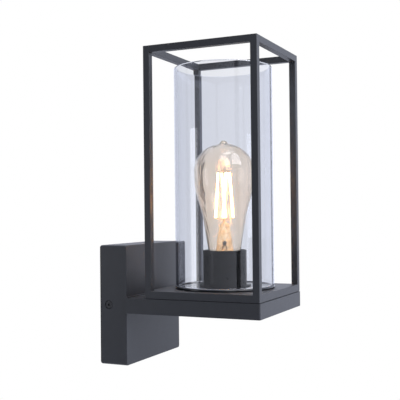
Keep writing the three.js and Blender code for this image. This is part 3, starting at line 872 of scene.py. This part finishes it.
def roundedRing(inner, outer, low, high, edge, steps=3):
    # the closed outline of a ring with rounded edges
    outline = []
    corners = [(outer, low, -90), (outer, high, 0), (inner, high, 90), (inner, low, 180)]
    for radius, height, start in corners:
        cx = radius - edge if radius == outer else radius + edge
        cz = height + edge if height == low else height - edge
        for i in range(steps + 1):
            turn = math.radians(start + 90 * i / steps)
            outline.append((cx + edge * math.cos(turn), cz + edge * math.sin(turn)))
    outline.append(outline[0])
    return outline


def makeGlass():
    outer = (tubeHigh.x - tubeLow.x) / 2
    outline = roundedRing(outer - tubeSet["wall"], outer, tubeLow.z, tubeHigh.z, tubeSet["rim"])
    tube = turnPiece("glass_tube", axis, outline, tubeSet["sides"], closed=True)
    smooth(tube, 60)
    finishPiece(tube, "glass", tubeGlass, ["glass_cylinder"])
    tube.visible_shadow = False
    ringLow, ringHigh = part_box("glass_gasket")
    ringOutline = roundedRing(outer - tubeSet["wall"], outer, ringLow.z, ringHigh.z, 0.25 * mm)
    gasket = turnPiece("glass_ring", axis, ringOutline, 128, closed=True)
    smooth(gasket, 60)
    finishPiece(gasket, "lantern", clearSilicone, ["glass_gasket"])


makeGlass()


seatSet = {"lipGap": 0.6 * mm, "rim": 3.5 * mm, "thick": 2.2 * mm}


def makeSeat():
    low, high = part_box("glass_seat")
    outer = (high.x - low.x) / 2
    lip = (tubeHigh.x - tubeLow.x) / 2 - tubeSet["wall"] - seatSet["lipGap"]
    hole = nippleHole
    foot = outer - seatSet["rim"]
    top = low.z + seatSet["thick"]
    outline = [
        (hole, low.z),
        (foot, low.z),
        (foot, low.z + 1.0 * mm),
        (outer - 0.3 * mm, low.z + 1.0 * mm),
        (outer, low.z + 1.25 * mm),
        (outer, top - 0.6 * mm),
        (outer - 0.12 * mm, top - 0.25 * mm),
        (outer - 0.35 * mm, top - 0.06 * mm),
        (outer - 0.6 * mm, top),
        (lip, top),
        (lip, high.z - 0.2 * mm),
        (lip - 0.2 * mm, high.z),
        (lip - 1.0 * mm, high.z),
        (lip - 1.2 * mm, high.z - 0.2 * mm),
        (lip - 1.2 * mm, top),
        (hole, top),
        (hole, low.z),
    ]
    seat = turnPiece("glass_seat_disc", axis, outline, 128, closed=True)
    smooth(seat)
    finishPiece(seat, "lantern", smoothCoat, ["glass_seat"])


makeSeat()

# lampholder
print("lampholder")
holderSet = {"flange": 4 * mm, "wall": 1.5 * mm, "floor": 2 * mm}


def makeHolder():
    low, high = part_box("holder_cover")
    flange = (high.x - low.x) / 2
    outer = flange - holderSet["flange"]
    inner = outer - holderSet["wall"]
    hole = nippleHole
    floorTop = low.z + holderSet["floor"]
    outline = [
        (hole, low.z),
        (flange - 0.2 * mm, low.z),
        (flange, low.z + 0.2 * mm),
        (flange, floorTop - 0.7 * mm),
        (flange - 0.25 * mm, floorTop - 0.2 * mm),
        (flange - 0.8 * mm, floorTop),
        (outer + 0.6 * mm, floorTop),
        (outer + 0.15 * mm, floorTop + 0.2 * mm),
        (outer, floorTop + 0.7 * mm),
        (outer, high.z - 0.7 * mm),
        (outer - 0.2 * mm, high.z - 0.2 * mm),
        (outer - 0.7 * mm, high.z),
        (inner + 0.3 * mm, high.z),
        (inner, high.z - 0.3 * mm),
        (inner, floorTop),
        (hole, floorTop),
        (hole, low.z),
    ]
    cover = turnPiece("lampholder_cover", axis, outline, 128, closed=True)
    smooth(cover)
    finishPiece(cover, "lantern", satinEnamel, ["holder_cover"])


makeHolder()


socketSet = {"gap": 0.3 * mm, "step": 2.5 * mm, "well": 4 * mm, "wireHole": 4 * mm, "floor": 4.1 * mm}


def makeHolderBody():
    low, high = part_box("lampholder_body")
    shellLow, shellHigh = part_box("socket_shell")
    outer = (high.x - low.x) / 2
    well = (shellHigh.x - shellLow.x) / 2 + socketSet["gap"]
    step = well - socketSet["step"]
    wellFloor = shellLow.z - socketSet["well"]
    wireHole = socketSet["wireHole"]
    floorTop = low.z + socketSet["floor"]
    outline = [
        (nippleHole, low.z),
        (outer, low.z),
        (outer, high.z - 1.2 * mm),
        (outer - 0.4 * mm, high.z - 0.3 * mm),
        (outer - 1.2 * mm, high.z),
        (well + 0.5 * mm, high.z),
        (well, high.z - 0.5 * mm),
        (well, shellLow.z),
        (step, shellLow.z),
        (step, wellFloor),
        (wireHole, wellFloor),
        (wireHole, floorTop),
        (nippleHole, floorTop),
        (nippleHole, low.z),
    ]
    body = turnPiece("socket_body", axis, outline, 96, closed=True)
    smooth(body)
    finishPiece(body, "lantern", thermoset, ["lampholder_body"])


makeHolderBody()

threadSet = {"pitch": 3.629 * mm, "depth": 0.55 * mm, "stepsPerTurn": 10, "fade": 2 * mm}


def threadedTube(name, low, high, outer, wall, sides, plainLow, plainHigh, foot=()):
    # a thin tube whose wall follows a round thread between two plain ends; the foot runs on from the
    # inner wall's lower end and back to the outer wall's
    step = threadSet["pitch"] / threadSet["stepsPerTurn"]
    count = int((high - low) / step)
    heights = [low + (high - low) * i / count for i in range(count + 1)]
    outline = [(outer, h) for h in heights] + [(outer - wall, h) for h in reversed(heights)]
    outline += [*foot, outline[0]]
    tube = turnPiece(name, axis, outline, sides, closed=True)
    for vertex in tube.data.vertices:
        place = vertex.co - axis
        radius = math.hypot(place.x, place.y)
        turn = math.atan2(place.y, place.x) / (2 * math.pi)
        run = min(vertex.co.z - low - plainLow, high - plainHigh - vertex.co.z) / threadSet["fade"]
        fade = min(1.0, max(0.0, run))
        wave = 0.5 - 0.5 * math.cos(2 * math.pi * ((vertex.co.z - low) / threadSet["pitch"] - turn))
        factor = (radius - threadSet["depth"] * wave * fade) / radius
        vertex.co.x = axis.x + place.x * factor
        vertex.co.y = axis.y + place.y * factor
    tube.data.update()
    smooth(tube, 60)
    return tube


shellLow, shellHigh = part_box("socket_shell")
shellRadius = (shellHigh.x - shellLow.x) / 2
shell = threadedTube(
    "socket_sleeve",
    shellLow.z,
    shellHigh.z,
    shellRadius,
    wall=0.6 * mm,
    sides=72,
    plainLow=3 * mm,
    plainHigh=1 * mm,
)
finishPiece(shell, "lantern", brass, ["socket_shell"])

contactLow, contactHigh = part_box("centre_contact")
contact = turnPiece(
    "contact_tongue",
    axis,
    [
        (0.9 * mm, contactLow.z),
        (0.9 * mm, contactHigh.z - 1.0 * mm),
        (4.6 * mm, contactHigh.z - 1.0 * mm),
        (5.0 * mm, contactHigh.z - 0.7 * mm),
        (4.6 * mm, contactHigh.z - 0.3 * mm),
        (2.5 * mm, contactHigh.z),
        (0, contactHigh.z),
    ],
    48,
)
smooth(contact)
finishPiece(contact, "contact", brass, ["centre_contact"])

# bulb
print("bulb")
bulbLow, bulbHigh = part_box("bulb_envelope")
capLow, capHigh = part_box("bulb_cap")
# under its thread the cap turns in to the mouth that the collar stands in
capSet = {"wall": 0.6 * mm, "mouth": 10.3 * mm, "shoulder": 1.6 * mm}
capRadius = (capHigh.x - capLow.x) / 2
capFoot = [
    (capSet["mouth"] + 0.9 * mm, capLow.z + 1.35 * mm),
    (capSet["mouth"], capLow.z + 1.2 * mm),
    (capSet["mouth"], capLow.z + 0.4 * mm),
    (capRadius - 1.2 * mm, capLow.z),
    (capRadius - 0.4 * mm, capLow.z + 0.5 * mm),
]
cap = threadedTube(
    "screw_cap",
    capLow.z + capSet["shoulder"],
    capHigh.z,
    capRadius,
    wall=capSet["wall"],
    sides=96,
    plainLow=1.1 * mm,
    plainHigh=3.5 * mm,
    foot=capFoot,
)
finishPiece(cap, "bulb", brass, ["bulb_cap"])

insulatorLow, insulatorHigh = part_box("cap_insulator")
collarRadius = (insulatorHigh.x - insulatorLow.x) / 2
insulator = turnPiece(
    "cap_glass_collar",
    axis,
    [
        (5.3 * mm, insulatorLow.z),
        (6.4 * mm, insulatorLow.z + 0.3 * mm),
        (8.2 * mm, insulatorLow.z + 1.3 * mm),
        (collarRadius - 0.25 * mm, insulatorLow.z + 2.1 * mm),
        (collarRadius, insulatorLow.z + 2.4 * mm),
        (collarRadius - 0.4 * mm, insulatorHigh.z),
    ],
    64,
)
smooth(insulator)
finishPiece(insulator, "bulb", beadGlass, ["cap_insulator"])
tipLow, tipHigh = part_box("cap_contact")
tip = turnPiece(
    "cap_tip",
    axis,
    [
        (1.2 * mm, tipLow.z),
        (3.0 * mm, tipLow.z + 0.15 * mm),
        (4.2 * mm, tipLow.z + 0.6 * mm),
        (4.5 * mm, tipLow.z + 1.0 * mm),
        (4.5 * mm, tipHigh.z),
    ],
    48,
)
smooth(tip)
finishPiece(tip, "bulb", brass, ["cap_contact"])

bulbSet = {
    "wall": 0.7 * mm,
    "neck": 17.9 * mm,
    "sides": 96,
    "domeSteps": 14,
    "rise": 29 * mm,  # from the widest ring to the dome's top
    "pip": 3.3 * mm,
}


def smoothStep(points, count):
    # a smooth run through [radius, height] points, by Catmull-Rom
    run = []
    ends = [points[0]] + list(points) + [points[-1]]
    for i in range(1, len(ends) - 2):
        for j in range(count):
            t = j / count
            p0, p1, p2, p3 = (Vector(p) for p in ends[i - 1 : i + 3])
            place = 0.5 * (
                2 * p1 + (p2 - p0) * t + (2 * p0 - 5 * p1 + 4 * p2 - p3) * t**2
                + (3 * p1 - p0 - 3 * p2 + p3) * t**3
            )
            run.append((place.x, place.y))
    run.append(tuple(points[-1]))
    return run


domeTop = bulbHigh.z - bulbSet["pip"]
waist = domeTop - bulbSet["rise"]


def envelopeOutline(inset):
    widest = (bulbHigh.x - bulbLow.x) / 2
    rim = capHigh.z
    neck = bulbSet["neck"]
    inCap = 12.2 * mm
    flank = [
        (inCap - inset, bulbLow.z),
        (inCap - inset, rim - 0.6 * mm),
        (inCap + 1.0 * mm - inset, rim + 0.7 * mm),
        (neck - 2.0 * mm - inset, rim + 1.6 * mm),
        (neck - 0.3 * mm - inset, rim + 3.4 * mm),
        (neck + 0.6 * mm - inset, rim + 9 * mm),
        (neck + (widest - neck) * 0.42 - inset, (rim + waist) / 2 - 2 * mm),
        (widest * 0.955 - inset, waist - 20 * mm),
        (widest - inset, waist),
    ]
    run = flank[:2] + smoothStep(flank[1:], 6)[1:]
    for i in range(1, bulbSet["domeSteps"]):
        turn = math.radians(90) * i / bulbSet["domeSteps"]
        run.append(((widest - inset) * math.cos(turn), waist + (domeTop - waist - inset) * math.sin(turn)))
    return run


def makeEnvelope():
    outside = envelopeOutline(0)
    inside = envelopeOutline(bulbSet["wall"])
    tip = [(5.6, -0.5), (4.6, -0.1), (4.0, 0.7), (3.5, 1.6), (2.8, 2.4), (1.9, 2.95), (0.9, 3.22), (0, 3.3)]
    outside = [p for p in outside if p[1] < waist or p[0] > 6.5 * mm]
    outside += [(radius * mm, domeTop + height * mm) for radius, height in tip]
    outer = turnPiece("bulb_glass", axis, outside, bulbSet["sides"])
    hollow = [(3.9, -0.9), (3.0, 0.3), (2.2, 1.5), (1.2, 2.2), (0, 2.5)]
    inside = [p for p in inside if p[1] < waist or p[0] > 5.5 * mm]
    inside += [(radius * mm, domeTop + height * mm) for radius, height in hollow]
    inner = turnPiece("bulb_inside", axis, inside, bulbSet["sides"])
    for shell in (outer, inner):
        editPiece(shell)
        pick(shell, "faces", lambda f: f.normal.z < -0.9 and len(f.verts) > 8)
        bpy.ops.mesh.delete(type="FACE")
        toObjectMode()
    editPiece(inner)
    bpy.ops.mesh.select_all(action="SELECT")
    bpy.ops.mesh.flip_normals()
    toObjectMode()
    glass = joinPieces("bulb_glass", [outer, inner])
    editPiece(glass, "EDGE")
    pick(glass, "edges", lambda e: len(e.link_faces) == 1)
    bpy.ops.mesh.bridge_edge_loops()
    toObjectMode()
    smooth(glass, 60)
    finishPiece(glass, "bulb", bulbGlass, ["bulb_envelope"])
    glass.visible_shadow = False


makeEnvelope()

stemSet = {
    "foot": 8.6 * mm,
    "pinch": 6.2 * mm,
    "rod": 1.8 * mm,
    "flat": 0.62,
    "pressed": (9 * mm, 7 * mm, 5.4 * mm),  # down from the top, where the glass is pressed flat
}
stemLow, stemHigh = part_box("bulb_stem")


def makeStem():
    # a flared tube that narrows to a pinch, with the exhaust rod above it
    rim = capHigh.z
    top = stemHigh.z
    foot, pinch, rod = stemSet["foot"], stemSet["pinch"], stemSet["rod"]
    flare = (stemHigh.x - stemLow.x) / 2
    pressed = [top - drop for drop in stemSet["pressed"]]
    outline = [
        (flare, stemLow.z),
        (flare - mm, stemLow.z + 2 * mm),
        (foot + 0.9 * mm, rim + 2 * mm),
        (foot, rim + 6 * mm),
        (foot - 0.3 * mm, rim + 11 * mm),
        (foot - 1.0 * mm, rim + 16 * mm),
        (pinch + 0.5 * mm, rim + 21 * mm),
        (pinch, pressed[0]),
        (pinch, pressed[1]),
        (pinch - 0.6 * mm, pressed[2]),
        (rod + 1.6 * mm, top - 4 * mm),
        (rod, top - 3 * mm),
        (rod, top - 0.8 * mm),
        (1.0 * mm, top - 0.1 * mm),
        (0, top),
    ]
    stem = turnPiece("glass_stem", axis, outline, 48)
    # the hot glass is pressed flat from two sides at the pinch
    editPiece(stem, "VERT")
    for level in pressed:
        pick(stem, "verts", lambda v: abs(v.co.z - level) < 0.1 * mm)
        middle = axis + Vector((0, 0, level))
        bpy.ops.transform.resize(value=(stemSet["flat"], 1, 1), center_override=middle)
    toObjectMode()
    smooth(stem, 50)
    finishPiece(stem, "bulb", leadGlass, ["bulb_stem"])
    stem.visible_shadow = False


makeStem()

filamentSet = {
    "count": 4,
    "radius": 1.3 * mm,
    "length": 48 * mm,
    "foot": 9.5 * mm,
    "head": 6.5 * mm,
    "headTurn": 45,
    "swing": 30,
    "lift": 2 * mm,
}


def aroundAxis(turn):
    # a turn about the lantern's upright axis
    return Matrix.Translation(axis) @ Matrix.Rotation(turn, 4, "Z") @ Matrix.Translation(-axis)


def filamentEnds():
    headTurn = math.radians(filamentSet["headTurn"])
    footTurn = headTurn - math.radians(filamentSet["swing"])
    low = stemHigh.z + filamentSet["lift"]
    ends = []
    for turn, reach, height in (
        (footTurn, filamentSet["foot"], low),
        (headTurn, filamentSet["head"], low + filamentSet["length"]),
    ):
        ends.append(axis + Vector((reach * math.cos(turn), reach * math.sin(turn), height)))
    return ends


def makeFilaments():
    foot, head = filamentEnds()
    model = addRod("filament_model", foot, head, filamentSet["radius"], 16)
    soften(model, 0.6 * mm, 3)
    smooth(model, 60)
    for i in range(filamentSet["count"]):
        turned = aroundAxis(2 * math.pi * i / filamentSet["count"])
        stick = copyPiece(model, f"filament_stick_{i + 1}", turned)
        finishPiece(stick, "bulb", filamentGlow, [f"filament_{i + 1}"])
    bpy.data.objects.remove(model)


makeFilaments()

wireSet = {"rod": 0.5 * mm, "arm": 0.35 * mm, "crown": 2.5 * mm, "tail": 6 * mm}


def makeSupport():
    # one upright wire, and for each stick one arm at its head and one at its foot
    foot, head = filamentEnds()
    low = stemHigh.z
    top = head.z
    centre = axis + Vector((0, 0, top + wireSet["crown"]))
    root = axis + Vector((0, 0, low - 0.6 * mm))
    headArm = [
        centre,
        (centre + head) / 2 + Vector((0, 0, 2.2 * mm)),
        head + Vector((0, 0, 1.4 * mm)),
        head - Vector((0, 0, 0.5 * mm)),
    ]
    footArm = [root, (root + foot) / 2 - Vector((0, 0, 0.6 * mm)), foot + Vector((0, 0, 0.4 * mm))]
    arms = joinPieces(
        "arm_model", [wirePiece("wire", headArm, wireSet["arm"]), wirePiece("wire", footArm, wireSet["arm"])]
    )
    upright = [axis + Vector((0, 0, z)) for z in (low - 0.5 * mm, (low + top) / 2, top + wireSet["tail"])]
    wires = [wirePiece("wire", upright, wireSet["rod"])]
    for i in range(filamentSet["count"]):
        wires.append(copyPiece(arms, "wire", aroundAxis(2 * math.pi * i / filamentSet["count"])))
    bpy.data.objects.remove(arms)
    support = joinPieces("filament_wires", wires)
    smooth(support, 60)
    finishPiece(support, "bulb", nickelWirePaintedGlow, ["filament_support"])


makeSupport()

# the dark bead on two fine legs beside the foot of the stem; its turn is about the upright axis, from +X
beadSet = {
    "height": 47.5 * mm,  # above the base plate
    "turn": 203,
    "reach": 11.3 * mm,
    "radius": 2.3 * mm,
    "stretch": 1.12,
    "leg": 0.45 * mm,
    "spread": 2.4 * mm,
}


def makeBead():
    turn = math.radians(beadSet["turn"])
    outwards = Vector((math.cos(turn), math.sin(turn), 0))
    side = Vector((outwards.y, -outwards.x, 0))
    place = axis + outwards * beadSet["reach"] + Vector((0, 0, plateHigh.z + beadSet["height"]))
    selectNothing()
    bpy.ops.mesh.primitive_uv_sphere_add(segments=32, ring_count=20, radius=beadSet["radius"], location=place)
    bead = nameActive("stem_bead")
    bead.scale = (1, 1, beadSet["stretch"])
    applyPlace(bead)
    legs = []
    for way in (-1, 1):
        foot = place + side * way * beadSet["spread"] - outwards * 1.5 * mm - Vector((0, 0, 6.2 * mm))
        knee = place + side * way * (beadSet["spread"] - 0.4 * mm) - Vector((0, 0, 3.2 * mm))
        legs.append(wirePiece("wire", [place, knee, foot], beadSet["leg"]))
    bead = joinPieces("stem_bead", [bead] + legs)
    smooth(bead, 60)
    finishPiece(bead, "bulb", beadGlass)


makeBead()

# screws: each kind is modelled once, upright, and copied to its places
print("screws")
screwSet = {
    "side": {"shank": 2.4 * mm, "depth": 2.2 * mm, "round": 0.25, "drive": "hex", "finish": screwCoat},
    "arm": {"shank": 2.0 * mm, "depth": 2.4 * mm, "round": 0.6, "drive": "cross", "finish": stainless},
    "cover": {"shank": 1.7 * mm, "depth": 1.6 * mm, "round": 0.6, "drive": "cross", "finish": stainless},
}
# each drive's sizes are shares of the head's radius
driveSet = {"hex": 0.36, "crossReach": 0.58, "crossHalf": 0.14}
screwPlaces = {
    "side": {"left": (-1, 0, 0), "right": (1, 0, 0)},
    "arm": {"left": (0, 1, 0), "right": (0, 1, 0)},
    "cover": {"1": (0, 0, -1), "2": (0, 0, -1), "3": (0, 0, -1), "4": (0, 0, -1)},
}


def screwModel(kind, length, head):
    shank, depth = screwSet[kind]["shank"], screwSet[kind]["depth"]
    edge = screwSet[kind]["round"] * depth
    outline = [
        (shank, 0),
        (shank, length - depth),
        (head, length - depth),
        (head, length - 0.85 * edge),
        (head - 0.4 * edge, length - 0.2 * edge),
        (head - edge, length),
    ]
    model = turnPiece("screw_model", (0, 0, 0), outline, 40)
    floor = length - 0.5 * depth
    if screwSet[kind]["drive"] == "hex":
        cutters = [addRod("cut", (0, 0, floor), (0, 0, length + mm), head * driveSet["hex"], 6)]
    else:
        reach, thick = head * driveSet["crossReach"], head * driveSet["crossHalf"]
        cutters = [
            addBlock("cut", (-reach, -thick, floor), (reach, thick, length + mm)),
            addBlock("cut", (-thick, -reach, floor), (thick, reach, length + mm)),
        ]
    combine(model, cutters, "DIFFERENCE")
    smooth(model)
    return model


def makeScrews(kind):
    places = screwPlaces[kind]
    first = next(iter(places))
    low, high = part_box(f"{kind}_screw_{first}")
    size = high - low
    length = abs(size.dot(Vector(places[first])))
    across = [extent for extent, way in zip(size, places[first]) if way == 0]
    model = screwModel(kind, length, max(across) / 2)
    for name, direction in places.items():
        low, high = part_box(f"{kind}_screw_{name}")
        direction = Vector(direction)
        start = (low + high) / 2 - direction * length / 2
        turned = direction.to_track_quat("Z", "Y").to_matrix().to_4x4()
        screw = copyPiece(model, f"{kind}_bolt_{name}", Matrix.Translation(start) @ turned)
        finishPiece(screw, "lantern", screwSet[kind]["finish"], [f"{kind}_screw_{name}"])
    bpy.data.objects.remove(model)


for kind in screwSet:
    makeScrews(kind)

# pieces whose CAD shape stays
print("kept pieces")
keptFinish = {
    "wall_bracket": zincPlate,
    "threaded_nipple": zincPlate,
    "nipple_nut": zincPlate,
    "earth_nut": zincPlate,
    "cable_grommet": silicone,
    "canopy_gasket": silicone,
    "terminal_block": nylon,
    "live_lead": brownSleeve,
    "neutral_lead": blueSleeve,
    "earth_lead": greenSleeve,
    "earth_tag": brass,
    "earth_post": brass,
}
for nodeName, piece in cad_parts.items():
    if nodeName.startswith(("terminal_screw", "frame_screw")):
        keptFinish[nodeName] = stainless
for nodeName, material in keptFinish.items():
    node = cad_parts[nodeName]
    node.data.materials.clear()
    node.data.materials.append(material)
